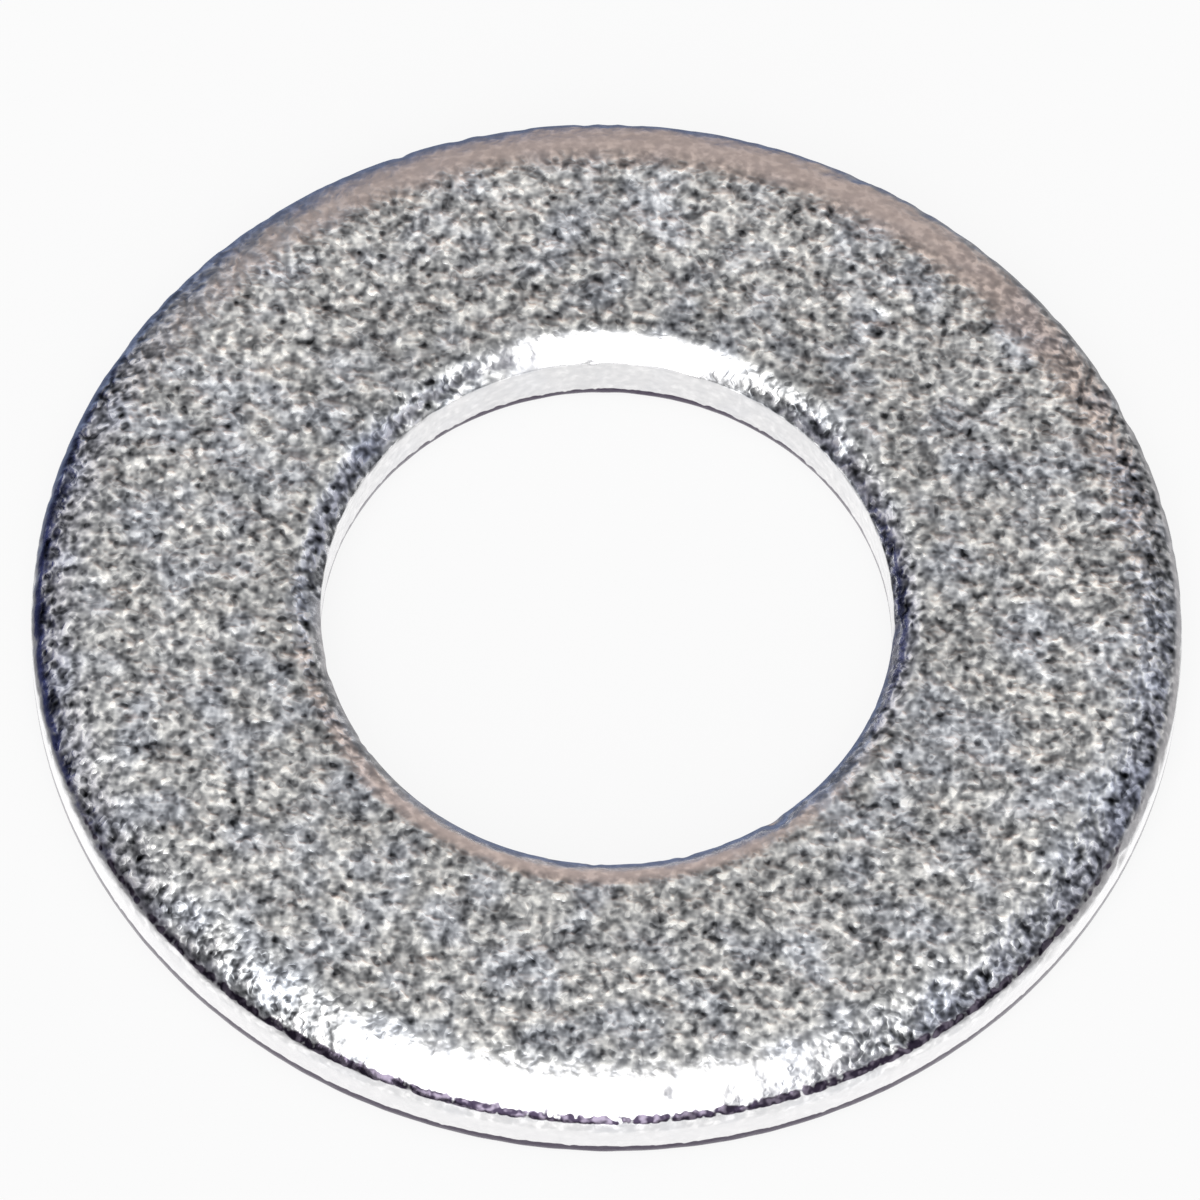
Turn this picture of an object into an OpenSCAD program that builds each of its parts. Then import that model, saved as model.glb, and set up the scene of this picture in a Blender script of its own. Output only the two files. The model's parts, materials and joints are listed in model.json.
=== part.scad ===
// Flat washer: a ring blanked and pierced from sheet steel, then zinc plated.
// It lies flat on the XY plane, with its axis on Z. The punched side, where both
// edges are rolled over, faces +Z. The sheared side, where the tools broke through,
// faces down. All sizes are in millimetres.

/* [Ring] */
// Outside diameter, 13/16 inch
outer_d = 20.62; // [20.5:0.01:21.0]
// Diameter of the hole
bore_d = 10.25; // [10.2:0.01:10.5]
// Thickness of the sheet, 16 gauge
thickness = 1.52; // [1.3:0.01:2.0]

/* [Rolled edge at the rim] */
// How far in from the rim the face starts to roll over
rim_roll_w = 1.3; // [1.0:0.05:1.5]
// How far the roll-over falls by the time it reaches the line of the wall
rim_roll_h = 0.43; // [0.2:0.01:0.5]
// Radius that joins the roll-over to the wall
rim_ridge_r = 0.35; // [0.1:0.01:0.4]

/* [Rolled edge at the hole] */
// How far out from the hole the face starts to roll over
bore_roll_w = 0.65; // [0.55:0.05:1.0]
// How far the roll-over falls by the time it reaches the line of the wall
bore_roll_h = 0.33; // [0.15:0.01:0.4]
// Radius that joins the roll-over to the wall
bore_ridge_r = 0.1; // [0.05:0.01:0.2]

/* [Sheared edges on the underside] */
// Radius left where tumbling has taken the burr off
burr_r = 0.18; // [0.05:0.01:0.25]

/* [Hidden] */
outer_r = outer_d / 2;
bore_r = bore_d / 2;
overcut = 1;      // how far a cutter reaches past the ring
$fn = 180;

// Radius of the arc that leaves a flat face as a tangent and falls by h over a length w
function roll_arc_r(w, h) = (w * w + h * h) / (2 * h);

// Everything outside a roll-over. The corner is at the origin, with the material at its
// lower left, its face along -X and its wall along -Y.
module roll_over_cutter(w, h) {
    arc_r = roll_arc_r(w, h);
    difference() {
        translate([-w, -h])
            square([w + overcut, h + overcut]);
        translate([-w, -arc_r])
            circle(arc_r);
    }
}

// Everything outside the ridge, an arc that touches the wall and the inside of the roll-over
module ridge_cutter(w, h, ridge_r) {
    between_centres = roll_arc_r(w, h) - ridge_r;
    lean = asin((w - ridge_r) / between_centres);
    centre = [-ridge_r, between_centres * cos(lean) - roll_arc_r(w, h)];
    reach = overcut + ridge_r;
    difference() {
        polygon([
            centre,
            centre + reach * [sin(lean), cos(lean)],
            centre + [reach, reach],
            centre + [reach, 0],
        ]);
        translate(centre)
            circle(ridge_r);
    }
}

// Everything outside a rounded corner, with the corner placed as for a roll-over
module round_cutter(r) {
    difference() {
        translate([-r, -r])
            square(r + overcut);
        translate([-r, -r])
            circle(r);
    }
}

// All that one punched edge loses, with the corner placed as for a roll-over
module punched_edge(w, h, ridge_r) {
    roll_over_cutter(w, h);
    ridge_cutter(w, h, ridge_r);
}

// The washer's section, with the hole on the left and the rim on the right
module section() {
    difference() {
        translate([bore_r, 0])
            square([outer_r - bore_r, thickness]);
        translate([outer_r, thickness])
            punched_edge(rim_roll_w, rim_roll_h, rim_ridge_r);
        translate([bore_r, thickness])
            mirror([1, 0])
                punched_edge(bore_roll_w, bore_roll_h, bore_ridge_r);
        translate([outer_r, 0])
            mirror([0, 1])
                round_cutter(burr_r);
        translate([bore_r, 0])
            mirror([1, 0])
                mirror([0, 1])
                    round_cutter(burr_r);
    }
}

// The ring itself
module washer() {
    color("silver")
        rotate_extrude()
            section();
}

washer();
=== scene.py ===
"""A zinc-plated flat washer, lying on a pale floor in soft studio light.

The frame gives the washer's size. This script builds the ring that is seen: its section is
turned into a fine mesh, and the mesh and the material carry the surface of a washer that was
blanked, pierced, tumbled and plated.
"""
import collections
import json
import math
import random

import bpy
from mathutils import Matrix, Vector, noise


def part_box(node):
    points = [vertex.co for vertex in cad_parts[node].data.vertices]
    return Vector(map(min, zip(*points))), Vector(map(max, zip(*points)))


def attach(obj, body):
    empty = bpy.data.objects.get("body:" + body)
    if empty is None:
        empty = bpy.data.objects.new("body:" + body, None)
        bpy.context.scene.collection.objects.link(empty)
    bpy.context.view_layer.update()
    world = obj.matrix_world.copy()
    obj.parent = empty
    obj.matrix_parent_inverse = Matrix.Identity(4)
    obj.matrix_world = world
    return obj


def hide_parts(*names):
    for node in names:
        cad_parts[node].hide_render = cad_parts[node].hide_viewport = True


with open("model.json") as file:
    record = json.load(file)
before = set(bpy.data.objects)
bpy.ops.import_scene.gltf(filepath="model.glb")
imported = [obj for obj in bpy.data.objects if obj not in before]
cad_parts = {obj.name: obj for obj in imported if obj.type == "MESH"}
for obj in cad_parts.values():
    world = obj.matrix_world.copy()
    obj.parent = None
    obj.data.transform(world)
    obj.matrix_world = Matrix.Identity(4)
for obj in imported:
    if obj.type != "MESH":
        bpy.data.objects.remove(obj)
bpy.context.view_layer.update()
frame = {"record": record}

MM = 0.001
UP = Vector((0, 0, 1))

# ---------------------------------------------------------------- sizes, in metres

LOW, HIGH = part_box("washer")
OUTER_R = (HIGH.x - LOW.x) / 2
THICKNESS = HIGH.z - LOW.z
BORE = next(m for m in frame["record"]["mounts"] if m["name"] == "bore")
BORE_R = BORE["dims"]["r_mm"] * MM

MIDDLE_R = (OUTER_R + BORE_R) / 2

# The rolled edges of the punched side, as in the CAD: width and depth of the roll-over, and
# the radius of the ridge between it and the wall
RIM_ROLL = (1.30 * MM, 0.43 * MM, 0.35 * MM)
BORE_ROLL = (0.65 * MM, 0.33 * MM, 0.10 * MM)
# Radius of the tumbled edges of the underside
BURR_R = 0.18 * MM

# ---------------------------------------------------------------- mesh density

TURNS = 720                  # points round the ring
TOP_STEP = 0.085 * MM        # along the section: flat face and roll-overs above
WALL_STEP = 0.09 * MM        # along the two walls
BOTTOM_STEP = 0.22 * MM      # along the underside
RIDGE_STEP = 0.05 * MM       # round the tight arcs

# ---------------------------------------------------------------- relief left by tumbling

RELIEF = 34e-6               # greatest depth of the soft dents all over
RELIEF_GRAIN = 0.42 * MM     # and their size
RELIEF_SLOPE = (110, 30)     # slopes at which they would be gone, and are full
RIDGE_RELIEF = 40e-6         # nicks in the ridge of the rolled edge
RIDGE_GRAIN = 0.30 * MM
RIDGE_SHIFT = UP * 9         # takes them from another part of the noise
WALL_RELIEF = 8e-6           # ripple of the sheared walls
WALL_GRAIN = 0.50 * MM
WALL_DRAWN = 0.2             # draws it out up and down the wall

# Small knocks: where, and how many
KNOCKS = (("rim", 22), ("bore", 8), ("face", 12))
KNOCK_REACH = (0.12 * MM, 0.30 * MM)
KNOCK_STEEPNESS = (0.08, 0.20)      # depth over reach
KNOCK_SEED = 5

# ---------------------------------------------------------------- wear, and painted shade and light

# Pairs are for ramp(): where an effect begins, and where it is full. Slopes are in degrees
# from the flat, and sides are what facing_back() gives.

ROLL_POLISH = 0.82           # evenness of the plating where a roll-over is smooth
RIM_WALL_POLISH = 0.95       # and on the sheared walls
HOLE_WALL_POLISH = 0.88
SMOOTH_SLOPE = (4, 16)       # a roll-over is smooth on its back and front sides
SMOOTH_BACK = (0.45, 0.85)
SMOOTH_FRONT = (0.86, 0.97)
STEEP_SLOPE = (34, 50)       # and where it is steep
GRIT_SLOPE = (10, 22)        # elsewhere its grain is stronger than the flat face's

HOLE_PAINTED_SHADE = 0.15                # painted shade: the colour darkened round the hole
HOLE_SHADE_REACH = 2.6 * MM      # from the hole's edge to where the painted shade ends
PAINTED_ROLL_LIGHT = 1.15           # painted highlight: the colour brightened on the roll-over of the hole

PAINTED_EDGE_REFLECTION = 0.9              # painted dark reflection in the rim's rolled edge
LINE_UPPER = (21, 44)        # slopes at its upper border
LINE_LOWER = (68, 54)        # and at its lower one
LINE_SIDE = (0.05, -0.90)    # it grows from the sides to the front
PAINTED_FOOT_SHADOW = 1.8              # painted shadow along the foot of the walls, where they meet the floor
RIM_FOOT = 0.385 * MM        # its height
BORE_FOOT = 0.31 * MM
FOOT_FADE = 0.12 * MM

# ---------------------------------------------------------------- layout for baking

BANDS = 2                    # the ring is unrolled into this many equal parts
UNDER_SHARE = 0.6            # width given to the underside
BAKE_MARGIN = 0.006


# ---------------------------------------------------------------- the section

def arc(centre, radius, start, end, step):
    """Points on an arc from start to end, in degrees, without the last one."""
    length = math.radians(abs(end - start)) * radius
    count = max(3, round(length / step))
    angles = [math.radians(start + (end - start) * i / count) for i in range(count)]
    return [(centre[0] + radius * math.cos(a), centre[1] + radius * math.sin(a)) for a in angles]


def line(start, end, step):
    """Points on a straight line from start to end, without the last one."""
    length = math.hypot(end[0] - start[0], end[1] - start[1])
    count = max(1, round(length / step))
    return [
        (start[0] + (end[0] - start[0]) * i / count, start[1] + (end[1] - start[1]) * i / count)
        for i in range(count)
    ]


def roll_shape(roll):
    """Radius of a roll-over's arc, the drop to the centre of its ridge arc, and its steepest slope."""
    width, depth, ridge = roll
    arc_r = (width ** 2 + depth ** 2) / (2 * depth)
    drop = arc_r - math.sqrt((arc_r - ridge) ** 2 - (width - ridge) ** 2)
    slope = math.degrees(math.asin((width - ridge) / (arc_r - ridge)))
    return arc_r, drop, slope


def section():
    """The washer's section as a closed loop of (radius, height), with what each point is part of.

    It runs out along the underside, up the rim, in across the top and down the hole.
    """
    rim_w, _, rim_ridge = RIM_ROLL
    bore_w, _, bore_ridge = BORE_ROLL
    rim_arc, rim_drop, rim_slope = roll_shape(RIM_ROLL)
    bore_arc, bore_drop, bore_slope = roll_shape(BORE_ROLL)
    rim_meet, bore_meet = 90 - rim_slope, 90 + bore_slope
    top = THICKNESS
    parts = [
        ("under", line((BORE_R + BURR_R, 0), (OUTER_R - BURR_R, 0), BOTTOM_STEP)),
        ("burr", arc((OUTER_R - BURR_R, BURR_R), BURR_R, -90, 0, RIDGE_STEP)),
        ("wall", line((OUTER_R, BURR_R), (OUTER_R, top - rim_drop), WALL_STEP)),
        ("ridge", arc((OUTER_R - rim_ridge, top - rim_drop), rim_ridge, 0, rim_meet, RIDGE_STEP)),
        ("roll", arc((OUTER_R - rim_w, top - rim_arc), rim_arc, rim_meet, 90, TOP_STEP)),
        ("top", line((OUTER_R - rim_w, top), (BORE_R + bore_w, top), TOP_STEP)),
        ("roll", arc((BORE_R + bore_w, top - bore_arc), bore_arc, 90, bore_meet, TOP_STEP)),
        ("ridge", arc((BORE_R + bore_ridge, top - bore_drop), bore_ridge, bore_meet, 180, RIDGE_STEP)),
        ("wall", line((BORE_R, top - bore_drop), (BORE_R, BURR_R), WALL_STEP)),
        ("burr", arc((BORE_R + BURR_R, BURR_R), BURR_R, 180, 270, RIDGE_STEP)),
    ]
    return [(r, z, part) for part, points in parts for r, z in points]


# ---------------------------------------------------------------- the ring

def ramp(value, start, end):
    """0 at start and before it, 1 at end and after it."""
    return min(1.0, max(0.0, (value - start) / (end - start)))


def outward(loop, i):
    """The unit normal of the section at point i, and its slope from the flat, in degrees."""
    (r0, z0, _), (r1, z1, _) = loop[i - 1], loop[(i + 1) % len(loop)]
    length = math.hypot(r1 - r0, z1 - z0)
    normal = ((z1 - z0) / length, (r0 - r1) / length)
    return normal, math.degrees(math.acos(min(1.0, abs(normal[1]))))


Knock = collections.namedtuple("Knock", "angle r z reach depth")


def make_knocks(loop):
    """Small knocks from tumbling, scattered over the ridges and the upper face."""
    chance = random.Random(KNOCK_SEED)
    spots = {
        "rim": [(r, z) for r, z, part in loop if part == "ridge" and r > MIDDLE_R],
        "bore": [(r, z) for r, z, part in loop if part == "ridge" and r < MIDDLE_R],
        "face": [(r, z) for r, z, part in loop if part in ("top", "roll")],
    }
    knocks = []
    for name, count in KNOCKS:
        for _ in range(count):
            r, z = chance.choice(spots[name])
            reach = chance.uniform(*KNOCK_REACH)
            angle = chance.uniform(0, math.tau)
            depth = reach * chance.uniform(*KNOCK_STEEPNESS)
            knocks.append(Knock(angle, r, z, reach, depth))
    return knocks


def along_ring(angle, knock):
    """The way from a knock to an angle, measured round the ring."""
    return ((angle - knock.angle + math.pi) % math.tau - math.pi) * knock.r


def knocked(knocks, angle, r, z):
    """How deep the knocks are at a point of the section turned to an angle."""
    depth = 0.0
    for knock in knocks:
        away = math.hypot(along_ring(angle, knock), r - knock.r, z - knock.z) / knock.reach
        if away < 1:
            depth = max(depth, knock.depth * (1 - away ** 2) ** 2)
    return depth


def sunk(place, part, slope):
    """How far the tumbled surface lies below the ideal one at a place."""
    if part == "wall":
        drawn = Vector((place.x, place.y, place.z * WALL_DRAWN))
        return WALL_RELIEF * (1 + noise.noise(drawn / WALL_GRAIN)) / 2
    rough = (1 + noise.noise(place / RELIEF_GRAIN)) / 2
    depth = RELIEF * rough * ramp(slope, *RELIEF_SLOPE)
    if part == "ridge":
        depth += RIDGE_RELIEF * max(0.0, noise.noise(place / RIDGE_GRAIN + RIDGE_SHIFT))
    return depth


def facing_back(angle, r):
    """How squarely a roll-over faces +Y, the back: 1 is +Y, and -1 is -Y, the front."""
    return math.sin(angle) if r > MIDDLE_R else -math.sin(angle)


def evenness(r, part, slope, back):
    """How even the plating looks: 0 is full grain, 1 is smooth."""
    if part in ("wall", "burr"):
        return RIM_WALL_POLISH if r > MIDDLE_R else HOLE_WALL_POLISH
    square = max(ramp(back, *SMOOTH_BACK), ramp(-back, *SMOOTH_FRONT))
    steep = ramp(slope, *STEEP_SLOPE) if r > MIDDLE_R or back > 0 else 0.0
    return ROLL_POLISH * max(steep, ramp(slope, *SMOOTH_SLOPE) * square)


def painted_dark_lines(r, z, part, slope, back):
    """How much painted dark there is: a painted dark reflection in the rim's edge on the front side,
    and a painted shadow at the walls' foot.
    """
    at_rim = r > MIDDLE_R
    if part in ("roll", "ridge") and at_rim:
        within = ramp(slope, *LINE_UPPER) * ramp(slope, *LINE_LOWER)
        return PAINTED_EDGE_REFLECTION * within * ramp(back, *LINE_SIDE)
    if part in ("wall", "burr"):
        foot = RIM_FOOT if at_rim else BORE_FOOT
        return PAINTED_FOOT_SHADOW * ramp(z, foot, foot - FOOT_FADE)
    return 0.0


def contrast(part, slope):
    """How much stronger the grain is than on the flat face: 0 is the same, 1 is the most."""
    return ramp(slope, *GRIT_SLOPE) if part in ("roll", "ridge") else 0.0


def painted_hole_light(r, part):
    """A factor on the colour that paints shade and light: painted shade in and round the hole, and the
    most painted light on its roll-over.
    """
    if part in ("wall", "burr"):
        return 1.0 if r > MIDDLE_R else 1 - HOLE_PAINTED_SHADE / 2
    from_hole = r - BORE_R
    flat = 1 - HOLE_PAINTED_SHADE * ramp(from_hole, HOLE_SHADE_REACH, BORE_ROLL[0])
    return flat + (PAINTED_ROLL_LIGHT - flat) * ramp(from_hole, BORE_ROLL[0], BORE_ROLL[0] / 2)


def lay_out_for_baking(mesh, loop):
    """The ring unrolled into bands, one above the other, with the underside narrowed."""
    rows = len(loop)
    across = [0.0]
    for i, (r, z, part) in enumerate(loop):
        next_r, next_z, _ = loop[(i + 1) % rows]
        step = math.hypot(next_r - r, next_z - z)
        across.append(across[-1] + step * (UNDER_SHARE if part == "under" else 1))
    band_turns = TURNS // BANDS
    length = 1 - 2 * BAKE_MARGIN
    width = 1 / BANDS - 2 * BAKE_MARGIN
    spots = []
    for t in range(TURNS):
        band, turn = divmod(t, band_turns)
        low = band / BANDS + BAKE_MARGIN
        left, right = (BAKE_MARGIN + length * (turn + k) / band_turns for k in (0, 1))
        for i in range(rows):
            near, far = (low + width * across[i + k] / across[-1] for k in (0, 1))
            spots.extend((left, near, right, near, right, far, left, far))
    mesh.uv_layers.new(name="OFBake").data.foreach_set("uv", spots)


def turn_section(loop):
    """The section turned round the axis with a tumbled surface, and what the material reads there."""
    normals = [outward(loop, i) for i in range(len(loop))]
    knocks = make_knocks(loop)
    points = []
    looks = {"polish": [], "mark": [], "hole_shade_and_light": [], "grit": []}
    for t in range(TURNS):
        angle = math.tau * t / TURNS
        c, s = math.cos(angle), math.sin(angle)
        close = [knock for knock in knocks if abs(along_ring(angle, knock)) < knock.reach]
        for (r, z, part), ((nr, nz), slope) in zip(loop, normals):
            depth = sunk(Vector((r * c, r * s, z)), part, slope) + knocked(close, angle, r, z)
            r_sunk, z_sunk = r - nr * depth, z - nz * depth
            points.append((r_sunk * c, r_sunk * s, z_sunk))
            back = facing_back(angle, r)
            looks["polish"].append(evenness(r, part, slope, back))
            # painted dark lines: a painted reflection in the rim's edge and a painted shadow at the
            # walls' foot
            looks["mark"].append(painted_dark_lines(r, z, part, slope, back))
            # painted shade in and round the hole, and painted light on its roll-over
            looks["hole_shade_and_light"].append(painted_hole_light(r, part))
            looks["grit"].append(contrast(part, slope))
    return points, looks


def join_sections(rows):
    """Faces between each turned section and the next, all the way round."""
    faces = []
    for t in range(TURNS):
        here, there = t * rows, (t + 1) % TURNS * rows
        for i in range(rows):
            j = (i + 1) % rows
            faces.append((here + i, there + i, there + j, here + j))
    return faces


def build_ring():
    """The washer as one closed mesh."""
    loop = section()
    points, looks = turn_section(loop)
    mesh = bpy.data.meshes.new("washer_ring")
    mesh.from_pydata(points, [], join_sections(len(loop)))
    mesh.shade_smooth()
    lay_out_for_baking(mesh, loop)
    for name, values in looks.items():
        layer = mesh.attributes.new(name, "FLOAT", "POINT")
        layer.data.foreach_set("value", values)
    ring = bpy.data.objects.new("washer_ring", mesh)
    bpy.context.scene.collection.objects.link(ring)
    return ring


# ---------------------------------------------------------------- material

# Pairs are for spread(): where an effect begins, and where it is full

GRAIN = 0.18 * MM            # facets of the plating
SPECK = 0.145 * MM           # the brightest and the darkest of them
SPECK_LEVEL = (0.58, 0.72)   # noise that makes one
SPECK_HEIGHT = 0.12          # and what it adds to the height
APART = (3 * MM, 5 * MM, 7 * MM)    # shift that makes a second, unlike noise
BRIGHTEST = 0.77             # height of the grain at which it is brightest
PATCH = 0.9 * MM             # cream and bluish patches
PATCH_LEVEL = (0.42, 0.72)

STREAK = 0.16 * MM           # breaks in the painted dark lines
STREAK_DRAWN = (1, 1, 0.15)  # draws them out up and down the edge
STREAK_SHARE = 1.8           # how much they count
PEBBLE_SHARE = 1.4           # and how much the grain does
BREAK_DROP = 0.6             # taken off their sum
BREAK_LEAST = 0.45           # least that is left of it
PAINTED_DARK_LEVEL = (0.36, 0.62)    # the mark times that, where the painted dark begins to show
THIN_LEVEL = (0.45, 0.62)    # height of the grain at which the painted dark is thin
WALL_LEVEL = (0.83, 0.87)    # polish that tells the walls from the roll-overs

GRAIN_BUMP = 20e-6           # height of the bump where the grain is full
SMOOTH_BUMP = 5e-6           # and where the plating is smooth
SMOOTH_SHADE = 0.58          # what smooth plating gives back of the light
ROUGHNESS = 0.25
FLAT_POWER = 2.2             # contrast of the grain on the flat face
ROLL_POWER = 3.3             # and on the roll-overs
ROLL_GAIN = 1.60             # makes up for the light lost by that

NO_TINGE = (1.0, 1.0, 1.0, 1)
CREAM = (1.0, 0.99, 0.95, 1)
BLUISH = (0.96, 0.985, 1.02, 1)
SMOOTH_TINGE = (1.0, 0.99, 1.0, 1)
DARK_GRAIN = (0.89, 0.95, 1.09, 1)
# Painted dark reflection in the rim's edge: darkest where the grain is low, thinner where it is high
EDGE_PAINTED_DARK = (0.022, 0.017, 0.029, 1)
THIN_PAINTED_DARK = (0.115, 0.099, 0.130, 1)
# painted shadow at the walls' foot
FOOT_SHADOW_COLOUR = (0.030, 0.019, 0.041, 1)


class Tree:
    """Short ways to add and join shader nodes."""

    def __init__(self, owner):
        owner.use_nodes = True
        self.nodes = owner.node_tree.nodes
        self.link = owner.node_tree.links.new

    def put(self, value, socket):
        if isinstance(value, bpy.types.NodeSocket):
            self.link(value, socket)
        else:
            socket.default_value = value

    def node(self, kind, *values, **settings):
        node = self.nodes.new(kind)
        for name, value in settings.items():
            setattr(node, name, value)
        for value, socket in zip(values, node.inputs):
            self.put(value, socket)
        return node

    def math(self, operation, a, b):
        return self.node("ShaderNodeMath", a, b, operation=operation).outputs[0]

    def vector(self, operation, a, b):
        return self.node("ShaderNodeVectorMath", a, b, operation=operation).outputs[0]

    def blend(self, share, a, b):
        """a where the share is 0 and b where it is 1, for numbers."""
        node = self.node("ShaderNodeMix", data_type="FLOAT")
        for value, socket in zip((share, a, b), (node.inputs[0], node.inputs[2], node.inputs[3])):
            self.put(value, socket)
        return node.outputs[0]

    def tint(self, share, a, b, kind="MIX"):
        """a where the share is 0 and b where it is 1, for colours."""
        node = self.node("ShaderNodeMix", data_type="RGBA", blend_type=kind)
        for value, socket in zip((share, a, b), (node.inputs[0], node.inputs[6], node.inputs[7])):
            self.put(value, socket)
        return node.outputs[2]

    def spread(self, value, low, high, kind="SMOOTHSTEP"):
        """0 where the value is low or less, 1 where it is high or more."""
        node = self.node("ShaderNodeMapRange", value, low, high, 0.0, 1.0, interpolation_type=kind)
        return node.outputs[0]

    def noise(self, place, size, detail=0.0):
        """Cloud noise with features of about one size, in metres, from 0 to 1."""
        node = self.node("ShaderNodeTexNoise")
        self.put(place, node.inputs["Vector"])
        node.inputs["Scale"].default_value = 1 / size
        node.inputs["Detail"].default_value = detail
        return node.outputs["Fac"]

    def attribute(self, name):
        return self.node("ShaderNodeAttribute", attribute_name=name).outputs["Fac"]


def grain(tree, place):
    """The height of the plating, about 0 to 1: soft pebbles, and those with glints and pits."""
    pebbles = tree.noise(place, GRAIN, 1.0)
    glint, pit = (
        tree.spread(tree.noise(at, SPECK), *SPECK_LEVEL)
        for at in (place, tree.vector("ADD", place, APART))
    )
    specks = tree.math("MULTIPLY", tree.math("SUBTRACT", glint, pit), SPECK_HEIGHT)
    return pebbles, tree.math("ADD", pebbles, specks)


def painted_dark_share(tree, place, pebbles):
    """Where the painted dark shows, 0 or 1: the lines of the attribute `mark`, a painted dark
    reflection at the rim's edge and a painted shadow at the walls' foot, broken along the ring.
    """
    streaks = tree.noise(tree.vector("MULTIPLY", place, STREAK_DRAWN), STREAK, 1.0)
    streaks = tree.math("MULTIPLY", streaks, STREAK_SHARE)
    breaks = tree.math("ADD", streaks, tree.math("MULTIPLY", pebbles, PEBBLE_SHARE))
    breaks = tree.math("MAXIMUM", tree.math("SUBTRACT", breaks, BREAK_DROP), BREAK_LEAST)
    return tree.spread(tree.math("MULTIPLY", tree.attribute("mark"), breaks), *PAINTED_DARK_LEVEL)


def clean_metal(tree, place, height, polish):
    """The plating's colour: light and dark facets in cream and bluish patches, times the painted shade
    round the hole and the painted highlight on its roll-over.
    """
    tone = tree.spread(height, 0.0, BRIGHTEST, "LINEAR")
    grit = tree.attribute("grit")
    grains = tree.math("POWER", tone, tree.blend(grit, FLAT_POWER, ROLL_POWER))
    grains = tree.math("MULTIPLY", grains, tree.blend(grit, 1.0, ROLL_GAIN))
    grains = tree.math("MINIMUM", grains, 1.0)
    shade = tree.blend(polish, grains, SMOOTH_SHADE)
    # painted shade in and round the hole, and painted light on its roll-over
    shade = tree.math("MULTIPLY", shade, tree.attribute("hole_shade_and_light"))
    metal = tree.node("ShaderNodeCombineColor", shade, shade, shade).outputs[0]
    patches = tree.spread(tree.noise(place, PATCH, 1.0), *PATCH_LEVEL)
    tinge = tree.tint(patches, CREAM, BLUISH)
    tinge = tree.tint(1.0, tinge, tree.tint(tone, DARK_GRAIN, NO_TINGE), "MULTIPLY")
    return tree.tint(1.0, metal, tree.tint(polish, tinge, SMOOTH_TINGE), "MULTIPLY")


def zinc_plate():
    """Bright zinc: a grain of light and dark facets, fainter where the attribute `polish` is high."""
    material = bpy.data.materials.new("zinc_plate")
    tree = Tree(material)
    place = tree.node("ShaderNodeTexCoord").outputs["Object"]
    polish = tree.attribute("polish")
    pebbles, height = grain(tree, place)
    metal = clean_metal(tree, place, height, polish)
    # painted dark lines over the metal: a painted reflection in the rim's edge and a painted shadow at
    # the walls' foot
    painted_dark_colour = tree.tint(tree.spread(pebbles, *THIN_LEVEL), EDGE_PAINTED_DARK, THIN_PAINTED_DARK)
    painted_dark_colour = tree.tint(tree.spread(polish, *WALL_LEVEL), painted_dark_colour, FOOT_SHADOW_COLOUR)

    shader = tree.nodes["Principled BSDF"]
    tree.put(tree.tint(painted_dark_share(tree, place, pebbles), metal, painted_dark_colour), shader.inputs["Base Color"])
    shader.inputs["Metallic"].default_value = 1
    shader.inputs["Roughness"].default_value = ROUGHNESS
    bump = tree.node("ShaderNodeBump")
    bump.inputs["Strength"].default_value = 1
    bump.inputs["Distance"].default_value = 1
    rise = tree.math("MULTIPLY", height, tree.blend(polish, GRAIN_BUMP, SMOOTH_BUMP))
    tree.put(rise, bump.inputs["Height"])
    tree.put(bump.outputs[0], shader.inputs["Normal"])
    return material


# ---------------------------------------------------------------- the studio

def direction(azimuth, elevation):
    """A unit vector. Azimuth 0 is +X and 90 is +Y, in degrees."""
    a, e = math.radians(azimuth), math.radians(elevation)
    return Vector((math.cos(a) * math.cos(e), math.sin(a) * math.cos(e), math.sin(e)))


# What the washer sees around it, later ones over earlier ones: where each patch lies, the
# angles at which it is full and gone, its colour and its strength
STUDIO = [
    ("light left side", 142, 44, 16, 34, (0.70, 0.69, 0.74), 1.0),
    ("light right side", 24, 56, 12, 30, (0.78, 0.81, 0.93), 1.0),
    ("ceiling", 90, 72, 8, 42, (1.0, 0.995, 0.985), 1.0),
    ("pale floor", 270, -60, 50, 75, (1.0, 1.0, 1.0), 1.55),
    ("floor at the right", 20, -25, 16, 36, (0.70, 0.69, 0.70), 1.0),
    ("floor behind", 108, -18, 22, 42, (0.19, 0.235, 0.37), 1.0),
    ("wall behind", 82, 26, 16, 34, (0.75, 0.61, 0.55), 1.0),
    ("dark side", 156, 6, 16, 34, (0.022, 0.03, 0.12), 1.0),
    ("dim side", 8, 33, 8, 26, (0.34, 0.35, 0.43), 1.0),
    ("soft box, low end", 266, 30, 14, 28, (1.0, 1.0, 1.0), 6.0),
    ("soft box, middle", 263, 50, 14, 28, (1.0, 1.0, 1.0), 6.0),
    ("soft box, high end", 255, 69, 14, 29, (1.0, 1.0, 1.0), 4.6),
    ("left of the camera", 196, 24, 10, 27, (0.26, 0.25, 0.29), 1.0),
    ("right of the camera", 322, 36, 12, 29, (0.40, 0.40, 0.46), 1.0),
    ("pale panel at the right", 308, 16, 16, 28, (1.0, 1.0, 1.0), 1.4),
]
ROOM = (0.42, 0.42, 0.43)
BACKDROP = (0.967, 0.967, 0.967, 1)     # what the camera sees past the floor
FLOOR_SIZE = 3.0
FLOOR_WHITE = 0.05                      # what the floor gives back of the light
FLOOR_GLOW = 0.885                      # the rest of its brightness, so it stays even
FLOOR_ROUGHNESS = 0.9


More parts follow.
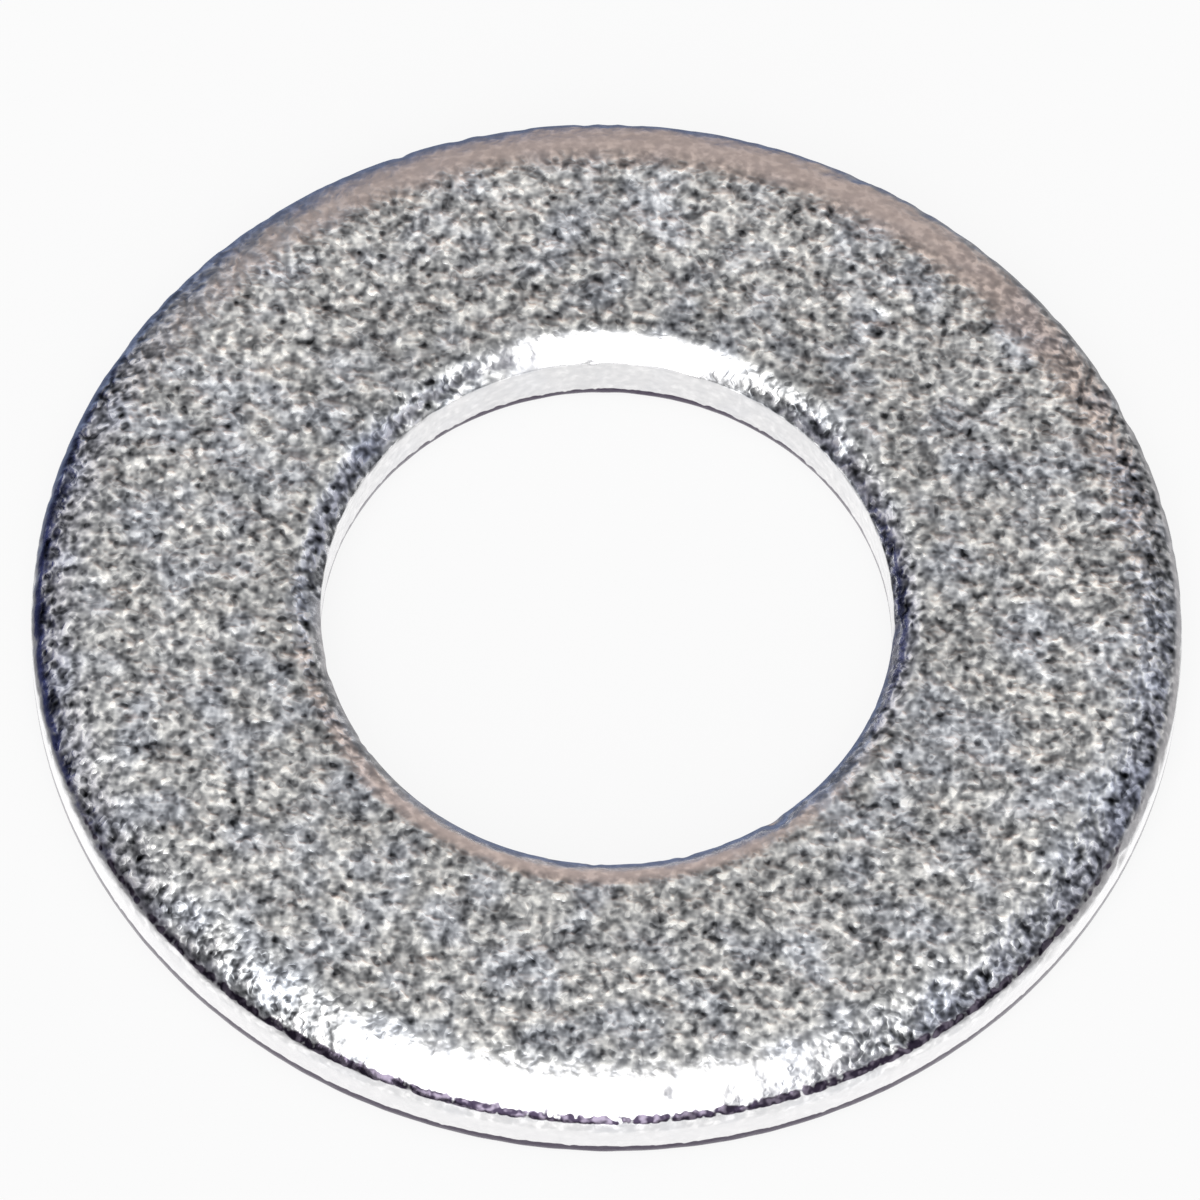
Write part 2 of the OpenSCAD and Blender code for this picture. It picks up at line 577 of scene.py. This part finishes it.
def light_studio():
    """The patches of STUDIO as the light of the world, and a plain backdrop for the camera."""
    world = bpy.data.worlds.new("studio")
    bpy.context.scene.world = world
    tree = Tree(world)
    place = tree.node("ShaderNodeTexCoord").outputs["Generated"]
    colour = (*ROOM, 1)
    for name, azimuth, elevation, full, gone, patch, strength in STUDIO:
        facing = tree.node(
            "ShaderNodeVectorMath", place, direction(azimuth, elevation), operation="DOT_PRODUCT")
        facing.label = name
        edges = [math.cos(math.radians(angle)) for angle in (gone, full)]
        share = tree.spread(facing.outputs["Value"], *edges, "SMOOTHERSTEP")
        colour = tree.tint(share, colour, (*[c * strength for c in patch], 1))
    seen = tree.node("ShaderNodeLightPath").outputs["Is Camera Ray"]
    backdrop = tree.tint(seen, colour, BACKDROP)
    tree.put(backdrop, tree.nodes["Background"].inputs["Color"])


def lay_floor():
    """A wide pale sheet under the washer."""
    half = FLOOR_SIZE / 2
    corners = [(-half, -half, 0), (half, -half, 0), (half, half, 0), (-half, half, 0)]
    mesh = bpy.data.meshes.new("floor")
    mesh.from_pydata(corners, [], [(0, 1, 2, 3)])
    floor = bpy.data.objects.new("floor", mesh)
    bpy.context.scene.collection.objects.link(floor)
    material = bpy.data.materials.new("pale_floor")
    material.use_nodes = True
    shader = material.node_tree.nodes["Principled BSDF"]
    shader.inputs["Base Color"].default_value = (FLOOR_WHITE, FLOOR_WHITE, FLOOR_WHITE, 1)
    shader.inputs["Roughness"].default_value = FLOOR_ROUGHNESS
    shader.inputs["Specular IOR Level"].default_value = 0.0
    shader.inputs["Emission Color"].default_value = (1, 1, 1, 1)
    shader.inputs["Emission Strength"].default_value = FLOOR_GLOW
    mesh.materials.append(material)
    floor.visible_glossy = False


# ---------------------------------------------------------------- the camera

ELEVATION = 60.67       # of the line of sight, in degrees
ROLL = 2.41             # the washer leans this far to the right in the picture, in degrees
DISTANCE = 244.4 * MM
LENS = 407.5            # focal length and sensor width, in millimetres
SENSOR = 36
AIM = Vector((-0.14, 0.89, 0.0)) * MM
SEEN = (0.01, 10)       # nearest and farthest that the camera sees


def place_camera():
    """The photograph's view, from the front and high up."""
    data = bpy.data.cameras.new("camera")
    data.sensor_width = SENSOR
    data.lens = LENS
    data.clip_start, data.clip_end = SEEN
    camera = bpy.data.objects.new("camera", data)
    bpy.context.scene.collection.objects.link(camera)
    back = direction(270, ELEVATION)
    side = UP.cross(back).normalized()
    up = back.cross(side)
    turn = Matrix.Rotation(math.radians(ROLL), 3, back)
    side, up = turn @ side, turn @ up
    facing = Matrix((side, up, back)).transposed().to_4x4()
    camera.matrix_world = Matrix.Translation(AIM + back * DISTANCE) @ facing
    bpy.context.scene.camera = camera


# ---------------------------------------------------------------- the scene

place_camera()
light_studio()
lay_floor()

ring = build_ring()
ring.data.materials.append(zinc_plate())
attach(ring, "root")
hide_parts("washer")

bpy.context.scene.view_settings.view_transform = "Standard"
